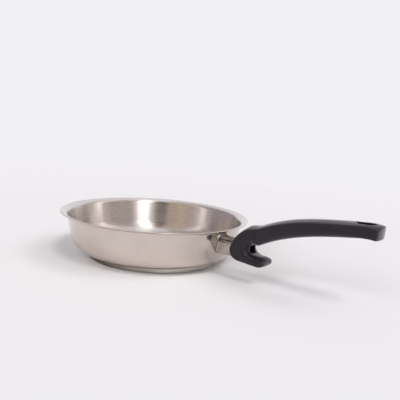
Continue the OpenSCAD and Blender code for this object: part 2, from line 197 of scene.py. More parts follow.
material, tree, shader = new_material("table_top", base_color=floor_colour, roughness=0.8)
shader.inputs["Specular IOR Level"].default_value = 0
out_from_pan = join_node(tree, "VectorMath", {0: object_place(tree)}, operation="LENGTH").outputs["Value"]
fade = join_node(tree, "MapRange", {"Value": out_from_pan, "From Min": floor_fade_r, "From Max": floor_r,
                                    "To Min": 1.0, "To Max": 0.0}, interpolation_type="SMOOTHSTEP")
tree.links.new(fade.outputs[0], shader.inputs["Alpha"])
floor.data.materials.append(material)


# Bowl: one disc of stainless steel, deep drawn, with its rim rolled out to a pouring lip and the cut
# edge polished round. It is mirror polished outside, and ground inside with fine lines round the axis.
mm = 0.001
rim_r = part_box("pan_body")[1].x
rim_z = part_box("pan_body")[1].z
base_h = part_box("pan_body")[0].z
sheet_t = 0.9 * mm
wall_lean = radians(12)
corner_r = 24 * mm
lip_bend_r = 5 * mm
lip_roll_r = 19 * mm
lip_in_slope = radians(25)
lip_out_slope = radians(4)
bowl_around = 288
polished_steel = (0.675, 0.593, 0.54, 1)
ground_steel = (0.72, 0.68, 0.66, 1)

roll_centre = np.array([rim_r + lip_roll_r * sin(lip_out_slope),
                        rim_z - (lip_roll_r + sheet_t) * cos(lip_out_slope)])
bend_centre = roll_centre + (lip_roll_r - lip_bend_r) * np.array([-sin(lip_in_slope), cos(lip_in_slope)])
wall_top = bend_centre + lip_bend_r * np.array([-cos(wall_lean), sin(wall_lean)])
wall_foot_z = base_h + corner_r * (1 - sin(wall_lean))
wall_foot_r = wall_top[0] - (wall_top[1] - wall_foot_z) * tan(wall_lean)
corner_centre = np.array([wall_foot_r - corner_r * cos(wall_lean), base_h + corner_r])


def arc(centre, radius, start, end, count):
    """Points of a round arc in the plane: centre plus radius times (cos, sin) of count angles."""
    a = np.linspace(start, end, count)
    return np.array(centre) + radius * np.stack([np.cos(a), np.sin(a)], axis=1)


def line(start, end, count):
    """Points between two points at even steps, without the two themselves."""
    t = np.linspace(0, 1, count + 2)[1:-1, None]
    return (1 - t) * np.array(start) + t * np.array(end)


def sheet_line(inwards):
    """Half section of the sheet's skin from the axis to the lip's edge, moved inwards from the outside."""
    corner = arc(corner_centre, corner_r - inwards, -pi / 2, -wall_lean, 28)
    bend = arc(bend_centre, lip_bend_r + inwards, pi - wall_lean, pi / 2 + lip_in_slope, 14)
    end = lip_out_slope + sheet_t / 2 / lip_roll_r
    roll = arc(roll_centre, lip_roll_r + inwards, pi / 2 + lip_in_slope, pi / 2 + end, 10)
    middle = np.array([0, base_h + inwards])
    return np.concatenate([[middle], line(middle, corner[0], 24), corner, line(corner[-1], bend[0], 14),
                           bend, roll[1:]])


def skin(name, rings, closed=False):
    """Closed surface over rings of points: each ring joins the next point by point. A closed skin joins
    its last ring to its first, and an open one ends in a fan to each end ring's middle. The sum of the
    faces' signed cone volumes tells whether the skin is inside out, and then every face is turned."""
    count, around = rings.shape[:2]
    points = rings.reshape(-1, 3)
    i = np.arange(count if closed else count - 1)[:, None]
    j = np.arange(around)[None, :]
    here, above = i * around, (i + 1) % count * around
    beside = (j + 1) % around
    quads = np.stack([here + j, here + beside, above + beside, above + j], axis=-1).reshape(-1, 4)
    fans = np.zeros((0, 3), int)
    if not closed:
        j, beside = j[0], beside[0]
        last = (count - 1) * around
        points = np.concatenate([points, rings[[0, -1]].mean(axis=1)])
        first_pole, last_pole = count * around, count * around + 1
        fans = np.concatenate([
            np.stack([beside, j, np.full(around, first_pole)], axis=-1),
            np.stack([last + j, last + beside, np.full(around, last_pole)], axis=-1)])
    corners = points[np.concatenate([quads[:, [0, 1, 2]], quads[:, [0, 2, 3]], fans])]
    volume = np.einsum("ij,ij->", corners[:, 0], np.cross(corners[:, 1], corners[:, 2]))
    faces = quads.tolist() + fans.tolist()
    if volume < 0:
        faces = [face[::-1] for face in faces]
    mesh = bpy.data.meshes.new(name)
    mesh.from_pydata(points.tolist(), [], faces)
    mesh.polygons.foreach_set("use_smooth", [True] * len(faces))
    mesh.validate()
    piece = bpy.data.objects.new(name, mesh)
    bpy.context.scene.collection.objects.link(piece)
    return piece


def spin(section, around):
    """Rings of a surface of revolution: a section point (r, z) goes to (r cos a, r sin a, z)."""
    a = np.linspace(0, 2 * pi, around, endpoint=False)
    r, z = section[:, :1], section[:, 1:]
    return np.stack([r * np.cos(a), r * np.sin(a), z + 0 * a], axis=-1)


outside = sheet_line(0)
inside = sheet_line(sheet_t)
edge_centre = (outside[-1] + inside[-1]) / 2
edge = arc(edge_centre, sheet_t / 2, lip_out_slope - pi / 2, lip_out_slope + pi / 2, 9)[1:-1]
section = np.concatenate([outside[1:], edge, inside[:0:-1]])
bowl = skin("pan_bowl", spin(section, bowl_around))

# The faces of the inner rings take the second material
ring_of_face = np.arange(len(bowl.data.polygons)) // bowl_around
bowl.data.polygons.foreach_set("material_index", (ring_of_face >= len(outside) + len(edge) - 3).astype(int))


def new_group(name, inputs, outputs):
    """Empty shader group with number inputs, given with their defaults, and number outputs."""
    group = bpy.data.node_groups.new(name, "ShaderNodeTree")
    for socket, value in inputs.items():
        port = group.interface.new_socket(socket, in_out="INPUT", socket_type="NodeSocketFloat")
        port.default_value = value
    for socket in outputs:
        group.interface.new_socket(socket, in_out="OUTPUT", socket_type="NodeSocketFloat")
    return group, group.nodes.new("NodeGroupInput").outputs, group.nodes.new("NodeGroupOutput").inputs


# Lines that grinding leaves on a turning piece: noise over radius and height, which changes only
# slowly along the turn because the direction from the axis moves the noise by just a little
spun_lines, given, result = new_group("spun_lines", {"Lines per metre": 3000, "Wander": 1.5}, ["Lines"])
axes = join_node(spun_lines, "SeparateXYZ", {0: object_place(spun_lines)}).outputs
level_place = join_node(spun_lines, "CombineXYZ", {"X": axes["X"], "Y": axes["Y"]}).outputs[0]
radius = join_node(spun_lines, "VectorMath", {0: level_place}, operation="LENGTH").outputs["Value"]
heading = join_node(spun_lines, "VectorMath", {0: level_place}, operation="NORMALIZE").outputs[0]
section_place = join_node(spun_lines, "CombineXYZ", {"X": radius, "Y": axes["Z"]}).outputs[0]
across = join_node(spun_lines, "VectorMath", {0: section_place, "Scale": given["Lines per metre"]},
                   operation="SCALE").outputs[0]
along = join_node(spun_lines, "VectorMath", {0: heading, "Scale": given["Wander"]},
                  operation="SCALE").outputs[0]
grain_place = join_node(spun_lines, "VectorMath", {0: across, 1: along}, operation="ADD").outputs[0]
noise = join_node(spun_lines, "TexNoise", {"Vector": grain_place, "Scale": 1.0, "Detail": 3.0})
spun_lines.links.new(noise.outputs["Fac"], result["Lines"])

# Marks of use: soft smudges that wiping leaves, and sparse hairline scratches in two directions
use_marks, given, result = new_group("use_marks", {"Smudge size": 0.03, "Scratch size": 0.012},
                                     ["Smudges", "Scratches"])
place = object_place(use_marks)
one_over = join_node(use_marks, "Math", {0: 1.0, 1: given["Smudge size"]}, operation="DIVIDE").outputs[0]
cloud = join_node(use_marks, "TexNoise", {"Vector": place, "Scale": one_over, "Detail": 4.0,
                                          "Distortion": 0.6}).outputs["Fac"]
smudge = join_node(use_marks, "MapRange", {"Value": cloud, "From Min": 0.42, "From Max": 0.68},
                   interpolation_type="SMOOTHSTEP")
use_marks.links.new(smudge.outputs[0], result["Smudges"])
one_over = join_node(use_marks, "Math", {0: 1.0, 1: given["Scratch size"]}, operation="DIVIDE").outputs[0]
hair = []
for lean in (35, -50):
    turn_by = (radians(20), radians(lean), radians(lean))
    turned = join_node(use_marks, "Mapping", {"Vector": place, "Rotation": turn_by,
                                              "Scale": (1, 14, 14)}).outputs[0]
    streak = join_node(use_marks, "TexNoise", {"Vector": turned, "Scale": one_over, "Detail": 1.0})
    hair.append(join_node(use_marks, "MapRange", {"Value": streak.outputs["Fac"], "From Min": 0.70,
                                                  "From Max": 0.74}).outputs[0])
either = join_node(use_marks, "Math", {0: hair[0], 1: hair[1]}, operation="MAXIMUM")
use_marks.links.new(either.outputs[0], result["Scratches"])


def place_group(tree, group, **values):
    """Puts a shader group into a material with its own values and returns the group's outputs."""
    node = tree.nodes.new("ShaderNodeGroup")
    node.node_tree = group
    for key, value in values.items():
        node.inputs[key.replace("_", " ")].default_value = value
    return node.outputs


def vary(tree, value, low, high, low_in=0.0, high_in=1.0):
    """Socket that runs from low to high as the value runs from low_in to high_in."""
    return join_node(tree, "MapRange", {"Value": value, "From Min": low_in, "From Max": high_in,
                                        "To Min": low, "To Max": high}).outputs[0]


def blend_colours(tree, share, first, second):
    """Socket with the colour that runs from first to second with the share."""
    mix = join_node(tree, "Mix", {"Factor": share}, data_type="RGBA")
    for socket, colour in zip([s for s in mix.inputs if s.type == "RGBA"], (first, second)):
        if isinstance(colour, bpy.types.NodeSocket):
            tree.links.new(colour, socket)
        else:
            socket.default_value = colour
    return next(s for s in mix.outputs if s.type == "RGBA")


def add_up(tree, first, second):
    """Socket with the sum of two values."""
    return join_node(tree, "Math", {0: first, 1: second}, operation="ADD").outputs[0]


def shade(colour, share):
    """The colour with its red, green and blue times a share."""
    return tuple(share * c for c in colour[:3]) + (1,)


def coat(tree, shader, colour, roughness, relief=None, depth=0.0):
    """Joins a colour and a roughness to the shader, and a relief as a bump whose full height is depth."""
    tree.links.new(colour, shader.inputs["Base Color"])
    tree.links.new(roughness, shader.inputs["Roughness"])
    if relief:
        bump = join_node(tree, "Bump", {"Height": relief, "Distance": depth, "Strength": 1.0})
        tree.links.new(bump.outputs[0], shader.inputs["Normal"])


def turned_steel(name, stretch):
    """Steel that was polished, ground or faced while it turned: its highlights are stretched across the
    lines that run round the axis."""
    material, tree, shader = new_material(name, metallic=1.0, anisotropic=stretch, anisotropic_rotation=0.25)
    tangent = join_node(tree, "Tangent", direction_type="RADIAL", axis="Z")
    tree.links.new(tangent.outputs[0], shader.inputs["Tangent"])
    return material, tree, shader


material, tree, shader = turned_steel("polished_steel", 0.35)
marks = place_group(tree, use_marks, Smudge_size=0.035, Scratch_size=0.010)
lines = place_group(tree, spun_lines, Lines_per_metre=2400, Wander=1.2)
colour = blend_colours(tree, marks["Smudges"], polished_steel, shade(polished_steel, 0.93))
rough = add_up(tree, vary(tree, marks["Smudges"], 0.10, 0.17), vary(tree, marks["Scratches"], 0.0, 0.10))
coat(tree, shader, colour, rough, lines["Lines"], 0.004 * mm)
bowl.data.materials.append(material)

material, tree, shader = turned_steel("ground_steel", 0.85)
marks = place_group(tree, use_marks, Smudge_size=0.045, Scratch_size=0.008)
lines = place_group(tree, spun_lines, Lines_per_metre=2600, Wander=2.0)
lined = vary(tree, lines["Lines"], 0, 1, 0.3, 0.7)
colour = blend_colours(tree, lined, shade(ground_steel, 0.96), shade(ground_steel, 1.02))
rough = add_up(tree, vary(tree, marks["Smudges"], 0.25, 0.28),
               vary(tree, lines["Lines"], -0.03, 0.03, 0.3, 0.7))
coat(tree, shader, colour, rough, lines["Lines"], 0.002 * mm)
bowl.data.materials.append(material)

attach(bowl, "root")
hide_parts("pan_body")

# Heat core: an aluminium disc soldered under the bowl and hidden by the cap. Only its edge shows, in the
# groove between bowl and cap, and its colour is painted nearly black there as painted shade for the groove.
core_shade_colour = (0.05, 0.042, 0.04, 1)

material, tree, shader = new_material("bare_aluminium", metallic=1.0)
lines = place_group(tree, spun_lines, Lines_per_metre=1200, Wander=4.0)
colour = blend_colours(tree, lines["Lines"], shade(core_shade_colour, 0.8), core_shade_colour)
coat(tree, shader, colour, vary(tree, lines["Lines"], 0.35, 0.6), lines["Lines"], 0.02 * mm)
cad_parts["base_core"].data.materials.clear()
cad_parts["base_core"].data.materials.append(material)

# Base cap: a shallow steel cup pressed round the core. Its side is satin, and its underside was faced
# on a lathe, very slightly hollow, so that the pan stands on its outer part when it is hot.
cap_t = 0.8 * mm
cap_edge_r = 2.2 * mm
cap_groove = 0.6 * mm
cap_lip_r = 0.3 * mm
hollow = 0.25 * mm
cap_steel = (0.68, 0.635, 0.60, 1)
# Painted shade: a darker steel for the side of the cap away from the handle
shaded_side_steel = (0.225, 0.18, 0.155, 1)
side_shade_reach = 0.65 * rim_r
# Painted shade: a dark band, this high under the groove and fading out below it
groove_shade_colour = (0.035, 0.028, 0.026, 1)
groove_shade_h = 0.8 * mm
groove_shade_fade = 0.5 * mm

base_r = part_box("base_cap")[1].x
cap_top = base_h - cap_groove
foot_r = base_r - cap_edge_r
under = np.linspace(mm, foot_r, 60)[:, None]
hollow_z = hollow * (1 - (under / foot_r) ** 2) ** 2
section = np.concatenate([
    np.concatenate([under, hollow_z], axis=1)[:-1],
    arc((foot_r, cap_edge_r), cap_edge_r, -pi / 2, 0, 12),
    line((base_r, cap_edge_r), (base_r, cap_top - cap_lip_r), 6),
    arc((base_r - cap_lip_r, cap_top - cap_lip_r), cap_lip_r, 0, pi / 2, 6),
    line((base_r - cap_lip_r, cap_top), (base_r - cap_t, cap_top), 1),
    arc((foot_r, cap_edge_r), cap_edge_r - cap_t, 0, -pi / 2, 8),
    line((foot_r, cap_t), (mm, cap_t), 6)])
base_cap = skin("base_cap_spun", spin(section, 256))

material, tree, shader = turned_steel("satin_cap_steel", 0.7)
lines = place_group(tree, spun_lines, Lines_per_metre=1500, Wander=1.0)
marks = place_group(tree, use_marks, Smudge_size=0.05, Scratch_size=0.009)
axes = join_node(tree, "SeparateXYZ", {0: object_place(tree)}).outputs
# Painted shade: the side away from the handle is darker, fading out towards the handle
side_shade = vary(tree, axes["X"], 1, 0, 0.0, side_shade_reach)
bright = blend_colours(tree, side_shade, cap_steel, shaded_side_steel)
dark = blend_colours(tree, side_shade, shade(cap_steel, 0.8), shade(shaded_side_steel, 0.75))
clean = blend_colours(tree, vary(tree, lines["Lines"], 0, 1, 0.3, 0.7), dark, bright)
# Painted shade: a dark band along the top edge of the cap, under the groove
groove_shade = vary(tree, axes["Z"], 0, 1, cap_top - groove_shade_h - groove_shade_fade, cap_top - groove_shade_h)
colour = blend_colours(tree, groove_shade, clean, groove_shade_colour)
rough = add_up(tree, vary(tree, marks["Smudges"], 0.26, 0.38), vary(tree, marks["Scratches"], 0.0, 0.12))
coat(tree, shader, colour, rough, lines["Lines"], 0.012 * mm)
base_cap.data.materials.append(material)

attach(base_cap, "root")
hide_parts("base_cap")

# Bracket sleeve: a short length of flattened steel tube. Its foot is cut to the curve of the wall, flares
# a little and is welded on with a fine bead, which ends in one drop. Its upper part is painted darker, as
# painted shade. The handle is pushed over its free end.
sleeve_w = 28 * mm
sleeve_h = 19.5 * mm
sleeve_t = 1.2 * mm
sleeve_corner_r = 4.5 * mm
sleeve_drop = 21.8 * mm
weld_gap = 0.15 * mm
sleeve_around = 160
flare = 0.3 * mm
flare_len = 3.2 * mm
flare_part = 0.14
body_part = 0.985
bead_r = 0.4 * mm
bead_drops = 60
bead_drop_share = 0.10
bead_swells = 7
bead_swell_share = 0.06
drop_size = (1.7 * mm, 1.7 * mm, 2.6 * mm)
drop_place = (120.9 * mm, -14.6 * mm, 53.4 * mm)
soften = 0.25 * mm
# Painted shade: the shares of the sleeve's height between which its upper part turns dark
top_shade_low_share = 0.40
top_shade_high_share = 0.48
sleeve_steel = (0.42, 0.385, 0.35, 1)
drop_steel = (0.92, 0.90, 0.88, 1)
# Dark steel: the weld bead's heat tint, and painted shade on the sleeve's upper part
heat_tint_and_shade_steel = (0.17, 0.18, 0.19, 1)
bead_steel = (0.10, 0.085, 0.08, 1)

sleeve_z = rim_z - sleeve_drop
sleeve_end_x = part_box("bracket_sleeve")[1].x


def wall_radius(z, outwards):
    """Radius of the bowl's outside at a height: the straight wall above its foot, the corner's arc
    below, each moved outwards."""
    straight = wall_top[0] - (wall_top[1] - z) * tan(wall_lean) + outwards / cos(wall_lean)
    reach = np.clip((corner_r + outwards) ** 2 - (corner_centre[1] - z) ** 2, 0, None)
    return np.where(z < wall_foot_z, corner_centre[0] + np.sqrt(reach), straight)


def round_rect(width, height, radius, steps):
    """Outline (y, z) of a rectangle with round corners: four quarter arcs in turn."""
    spots = [(1, 1, 0), (-1, 1, 1), (-1, -1, 2), (1, -1, 3)]
    y, z = width / 2 - radius, height / 2 - radius
    return np.concatenate([
        arc((sy * y, sz * z), radius, k * pi / 2, (k + 1) * pi / 2, steps) for sy, sz, k in spots])


def even_out(outline, count):
    """The same closed outline with count points at even steps along it."""
    loop = np.concatenate([outline, outline[:1]])
    run = np.concatenate([[0], np.cumsum(np.linalg.norm(np.diff(loop, axis=0), axis=1))])
    at = np.linspace(0, run[-1], count, endpoint=False)
    return np.stack([np.interp(at, run, loop[:, k]) for k in range(loop.shape[1])], axis=1)


def sleeve_ring(inwards, share, flared):
    """Ring of the sleeve: its section, inwards from the outside, at a share of the way from the bowl's
    wall to the free end. The foot flares out along a parabola."""
    section = round_rect(sleeve_w - 2 * inwards, sleeve_h - 2 * inwards, sleeve_corner_r - inwards, 9)
    section = even_out(section, sleeve_around)
    start = np.sqrt(wall_radius(sleeve_z + section[:, 1], weld_gap) ** 2 - section[:, 0] ** 2)
    x = start + share * (sleeve_end_x - start)
    grow = flared * flare * np.clip(1 - (x - start) / flare_len, 0, 1) ** 2
    section = section * (1 + grow[:, None] / (sleeve_h / 2))
    start = np.sqrt(wall_radius(sleeve_z + section[:, 1], weld_gap) ** 2 - section[:, 0] ** 2)
    x = start + share * (sleeve_end_x - start)
    return np.stack([x, section[:, 0], sleeve_z + section[:, 1]], axis=1)


shares = np.concatenate([np.linspace(0, flare_part, 9), np.linspace(flare_part, body_part, 24)[1:]])
rings = [sleeve_ring(0, s, 1) for s in shares]
rings += [sleeve_ring(soften, 1, 0), sleeve_ring(sleeve_t - soften, 1, 0)]
rings += [sleeve_ring(sleeve_t, s, 1) for s in shares[::-1]]
sleeve = skin("bracket_sleeve_tube", np.array(rings), closed=True)

# The bead is a thin tube round the foot. Its radius swells with each drop of the weld, and with a slow
# wave besides
foot = sleeve_ring(0, 0, 1)
foot_next = np.roll(foot, -1, axis=0) - np.roll(foot, 1, axis=0)
along = foot_next / np.linalg.norm(foot_next, axis=1)[:, None]
outward = foot - np.array([foot[:, 0].mean(), 0, sleeve_z])
outward[:, 0] = 0
outward /= np.linalg.norm(outward, axis=1)[:, None]
away = np.cross(along, outward)
run = np.linspace(0, 2 * pi, len(foot), endpoint=False)
bead_size = bead_r * (1 + bead_drop_share * np.abs(np.sin(bead_drops / 2 * run))
                      + bead_swell_share * np.sin(bead_swells * run))
a = np.linspace(0, 2 * pi, 14, endpoint=False)
bead_rings = foot[None] + bead_size[None, :, None] * (
    np.cos(a)[:, None, None] * outward[None] + np.sin(a)[:, None, None] * away[None])
bead = skin("bracket_weld_bead", bead_rings, closed=True)

material, tree, shader = new_material("sleeve_steel", metallic=1.0)
marks = place_group(tree, use_marks, Smudge_size=0.012, Scratch_size=0.006)
height = join_node(tree, "SeparateXYZ", {0: object_place(tree)}).outputs["Z"]
# Painted shade: above this height the sleeve turns to the dark steel
top_shade = vary(tree, height, 0, 1, sleeve_z + top_shade_low_share * sleeve_h,
             sleeve_z + top_shade_high_share * sleeve_h)
clean = blend_colours(tree, marks["Smudges"], sleeve_steel, shade(sleeve_steel, 0.85))
colour = blend_colours(tree, top_shade, clean, heat_tint_and_shade_steel)
rough = add_up(tree, vary(tree, marks["Smudges"], 0.14, 0.24), vary(tree, marks["Scratches"], 0.0, 0.15))
coat(tree, shader, colour, rough, marks["Smudges"], 0.02 * mm)
sleeve.data.materials.append(material)

material, tree, shader = new_material("weld_bead_steel", metallic=1.0)
drops = join_node(tree, "TexNoise", {"Vector": object_place(tree), "Scale": 900.0}).outputs["Fac"]
colour = blend_colours(tree, drops, bead_steel, heat_tint_and_shade_steel)
coat(tree, shader, colour, vary(tree, drops, 0.26, 0.42), drops, 0.04 * mm)
bead.data.materials.append(material)

# The drop is an egg on the upper front corner of the foot: a ball's points times its three half sizes
turn, rise = np.meshgrid(np.linspace(0, 2 * pi, 24, endpoint=False), np.linspace(-pi / 2, pi / 2, 14)[1:-1])
ball = np.stack([np.cos(rise) * np.cos(turn), np.cos(rise) * np.sin(turn), np.sin(rise)], axis=-1)
drop = skin("bracket_weld_drop", ball * np.array(drop_size) + np.array(drop_place))

material, tree, shader = new_material("weld_drop_steel", metallic=1.0)
ripple = join_node(tree, "TexNoise", {"Vector": object_place(tree), "Scale": 1500.0}).outputs["Fac"]
colour = blend_colours(tree, ripple, drop_steel, shade(drop_steel, 0.85))
coat(tree, shader, colour, vary(tree, ripple, 0.12, 0.22))
drop.data.materials.append(material)

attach(sleeve, "root")
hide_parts("bracket_sleeve")
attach(bead, "root")
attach(drop, "root")

# Anchor plate and threaded boss: pieces inside the sleeve that take the handle screw. They are cut and
# turned from mild steel and left bare, and the weld's heat has coloured them brown and blue in patches.
bare_steel = (0.50, 0.49, 0.48, 1)
heat_brown = (0.42, 0.33, 0.24, 1)
heat_blue = (0.28, 0.32, 0.42, 1)

material, tree, shader = new_material("bare_inner_steel", metallic=1.0)
marks = place_group(tree, use_marks, Smudge_size=0.006, Scratch_size=0.004)
heat = join_node(tree, "TexNoise", {"Vector": object_place(tree), "Scale": 180.0,
                                    "Detail": 2.0}).outputs["Fac"]
browned = blend_colours(tree, vary(tree, heat, 0, 1, 0.5, 0.62), bare_steel, heat_brown)
colour = blend_colours(tree, vary(tree, heat, 0, 1, 0.62, 0.72), browned, heat_blue)
coat(tree, shader, colour, vary(tree, marks["Smudges"], 0.32, 0.5), marks["Scratches"], 0.03 * mm)
for node in ("anchor_plate", "threaded_boss"):
    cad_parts[node].data.materials.clear()
    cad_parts[node].data.materials.append(material)

# Handle: one moulding of black phenolic resin. It springs from a rounded nose over the sleeve, rises to
# a thumb rest, and runs out in a long arm with an arched top. Under the nose a guard curls back to hold
# the forefinger off the hot bowl, and behind it the screw's bore opens into the notch.
nose_x = 138.2 * mm
grip_len = 180 * mm
grip_rise = 76.8 * mm
root_rise = 47.9 * mm
guard_len = 48.4 * mm
belly_drop = 15.2 * mm
end_h = 12.5 * mm
end_droop = 3.7 * mm
end_bulge = 2.5 * mm
end_lean = 0.6 * mm
arm_h = 22 * mm
end_w = 29 * mm
arm_w = 26.5 * mm
guard_w = 27 * mm
fit = 0.3 * mm
mouth_wall = 2.3 * mm
top_edge_r = 1.6 * mm
low_edge_r = 6.4 * mm
low_end_r = 1.4 * mm
notch_edge_r = 8 * mm
notch_edge_w = 12 * mm
end_edge_r = 1.5 * mm
top_crown = 3.2 * mm
nose_crown = 2 * mm
belly_crown = 0.8 * mm
root_widening = 0.25
notch_widening = 0.6
tip_share = 0.985
grip_square = 0.53 * mm
melt_rounds = 3

belly_z = sleeve_z - belly_drop
nose_half = sleeve_w / 2 + fit + mouth_wall
end_x = nose_x + grip_len
arm_bend_shares = np.array([[1, 1], [0.62, 0.728], [0.33, 0.781], [0, 0]])
droop_share = 0.15
bulge_share = 0.3
outer_root_shares = np.array([
    [[0.762, 1], [0.69, 0.975], [0.61, 0.955], [0.53, 0.952]],
    [[0.53, 0.952], [0.44, 0.955], [0.16, 0.785], [0.033, 0.44]],
    [[0.033, 0.44], [-0.015, 0.31], [0.004, 0.13], [0.24, 0.07]],
    [[0.24, 0.07], [0.423, 0.048], [0.626, 0.016], [0.8, 0]],
    [[0.8, 0], [0.92, 0], [1, 0.05], [1, 0.133]]])
inner_root_shares = np.array([
    [[0.64, 0.54], [0.585, 0.533], [0.515, 0.5], [0.5, 0.415]],
    [[0.5, 0.415], [0.494, 0.366], [0.515, 0.318], [0.575, 0.282]],
    [[0.575, 0.282], [0.65, 0.257], [0.73, 0.256], [0.809, 0.256]],
    [[0.809, 0.256], [0.911, 0.256], [1, 0.235], [1, 0.133]]])


def mix(a, b, t):
    """Value or point at share t of the way from a to b."""
    return a + (b - a) * t


def smooth(t):
    """Share that starts and ends gently: 3 t squared less 2 t cubed."""
    return t * t * (3 - 2 * t)


def bezier(p, t):
    """Points of a cubic Bezier curve with four control points."""
    t = np.asarray(t)[..., None]
    return p[0] * (1 - t) ** 3 + 3 * p[1] * t * (1 - t) ** 2 + 3 * p[2] * t ** 2 * (1 - t) + p[3] * t ** 3


root_scale = np.array([guard_len, root_rise])
root_origin = np.array([nose_x, belly_z])
outer_root = root_origin + outer_root_shares * root_scale
root_point = outer_root[0, 0]
arm_curve = root_point + arm_bend_shares * (np.array([end_x, belly_z + grip_rise]) - root_point)


def faded(t, share):
    """Square of what is left of 1 - t / share."""
    return np.clip(1 - np.asarray(t) / share, 0, 1) ** 2


def arm_top(t):
    """Crest line of the arm's edges, t being 0 at the end and 1 at the root. It droops near the end."""
    drop = end_droop * faded(t, droop_share)
    return bezier(arm_curve, t) - np.stack([0 * drop, drop], axis=-1)


def arm_low(t):
    """Underside of the arm, below its crest line."""
    t = np.asarray(t)
    return arm_top(t) - np.stack([mix(end_lean, 0, t), mix(end_h, arm_h, t)], axis=-1)


def arm_half(t):
    """Half width of the arm: it narrows from the end to its middle and widens again to the root."""
    return np.where(t < 0.5, mix(end_w, arm_w, smooth(np.minimum(2 * t, 1))) / 2,
                    mix(arm_w / 2, mix(arm_w / 2, nose_half, root_widening),
                        smooth(np.clip(2 * t - 1, 0, 1))))


notch_start = root_origin + inner_root_shares[0, 0] * root_scale
notch_roof = mix(arm_low(1.0), notch_start, np.linspace(0, 1, 4)[:, None])
inner_root = np.concatenate([[notch_roof], root_origin + inner_root_shares * root_scale])
root_half = [float(arm_half(1.0)), mix(arm_w / 2, nose_half, notch_widening), nose_half, nose_half,
             guard_w / 2]
root_crown = [top_crown, top_crown, nose_crown, nose_crown, belly_crown]


def handle_ring(outer, inner, half, r_out, r_in, w_in, crown, corner_steps=14, arch_steps=12, side_steps=8):
    """Ring round the handle between an outer and an inner point, at half its width to each side. From
    the middle of the inner side it runs round the inner corner, a quarter oval w_in wide and r_in high,
    up the side, round the outer edge and over the arch, a parabola of the crown's height, and then back
    on the other side. Edges and crown are held back where the ring is too small for them."""
    height = np.linalg.norm(outer - inner)
    up = (outer - inner) / height
    r_out = min(r_out, 0.48 * height, 0.9 * half)
    r_in = min(r_in, 0.8 * (height - r_out), 0.9 * half)
    w_in = min(w_in, 0.9 * half)
    slope = np.arctan(2 * min(crown, 0.3 * height) / half)
    arch_y = half - r_out + r_out * sin(slope)
    arch_z = height - r_out + r_out * cos(slope)
    low = arc((0, 0), 1, -pi / 2, 0, corner_steps) * np.array([w_in, r_in]) + np.array([half - w_in, r_in])
    high = arc((half - r_out, height - r_out), r_out, 0, pi / 2 - slope, corner_steps)
    y = np.linspace(1, 0, arch_steps + 1)[1:]
    arch = np.stack([y * arch_y, arch_z + arch_y * tan(slope) / 2 * (1 - y * y)], axis=1)
    flat = line((0, 0), low[0], 5)
    upright = line(low[-1], high[0], side_steps)
    right = np.concatenate([[[0, 0]], flat, low, upright, high, arch])
    left = right[-2:0:-1] * np.array([-1, 1])
    ring = np.concatenate([right, left])
    return np.stack([inner[0] + up[0] * ring[:, 1], ring[:, 0], inner[1] + up[1] * ring[:, 1]], axis=1)


def bowed(ring, share):
    """Ring whose points stand back by a share of the end's bulge, with the square of their y."""
    back = share * end_bulge * (2 * ring[:, 1] / end_w) ** 2
    return ring - np.stack([back, 0 * back, 0 * back], axis=1)


# The handle's rings run from the middle of its end face over the quarter arc of that face's edge, then
# along the arm, and last round the root in four stretches and down to the rounded tip of the guard
end_share = end_edge_r / (3 * (arm_curve[0, 0] - arm_curve[1, 0]))
end_ring = handle_ring(arm_top(0.0) - np.array([0, end_edge_r]), arm_low(0.0) + np.array([0, end_edge_r]),
                       end_w / 2 - end_edge_r, top_edge_r, low_end_r, low_end_r, top_crown)
end_middle = np.insert((arm_top(0.0) + arm_low(0.0)) / 2, 1, 0)
rings = [bowed(mix(end_middle, end_ring, s), 1) for s in (0.03, 0.2, 0.4, 0.6, 0.8)]
for a in np.linspace(pi / 2, 0.1, 7):
    inset = end_edge_r * (1 - cos(a))
    back = np.array([end_edge_r * (1 - sin(a)), inset])
    lift = np.array([-end_edge_r * (1 - sin(a)), inset])
    ring = handle_ring(arm_top(0.0) - back, arm_low(0.0) + lift, end_w / 2 - inset, top_edge_r, low_end_r,
                       low_end_r, top_crown)
    rings.append(bowed(ring, 1))
for t in np.linspace(end_share, 1, 110):
    r_in = mix(low_end_r, low_edge_r, smooth(min(1, 3 * t)))
    ring = handle_ring(arm_top(t), arm_low(t), float(arm_half(t)), top_edge_r, r_in, r_in, top_crown)
    rings.append(bowed(ring, faded(t, bulge_share)))
for k in range(4):
    for t in np.linspace(0, 1, 29)[1:]:
        r_in = mix(low_edge_r, notch_edge_r, t) if k == 0 else notch_edge_r
        w_in = mix(low_edge_r, notch_edge_w, t) if k == 0 else notch_edge_w
        rings.append(handle_ring(bezier(outer_root[k], t), bezier(inner_root[k], t),
                                 mix(root_half[k], root_half[k + 1], smooth(t)), top_edge_r, r_in, w_in,
                                 mix(root_crown[k], root_crown[k + 1], t)))
for t in np.linspace(0, tip_share, 25)[1:]:
    rings.append(handle_ring(bezier(outer_root[4], t), bezier(inner_root[4], t),
                             guard_w / 2 * (1 - t ** 3) ** 0.5, top_edge_r, notch_edge_r, notch_edge_w,
                             belly_crown))
handle_rings = np.array(rings)


def tube(radius, low, high, around=64):
    """Closed cylinder on the Z axis between two heights."""
    ends = np.array([[radius, low], [radius, high]])
    return spin(ends, around)


def placed(rings, place, axis_x, axis_y, axis_z):
    """The same rings in a frame with its origin at place and with those three axes."""
    return np.array(place) + rings @ np.array([axis_x, axis_y, axis_z])


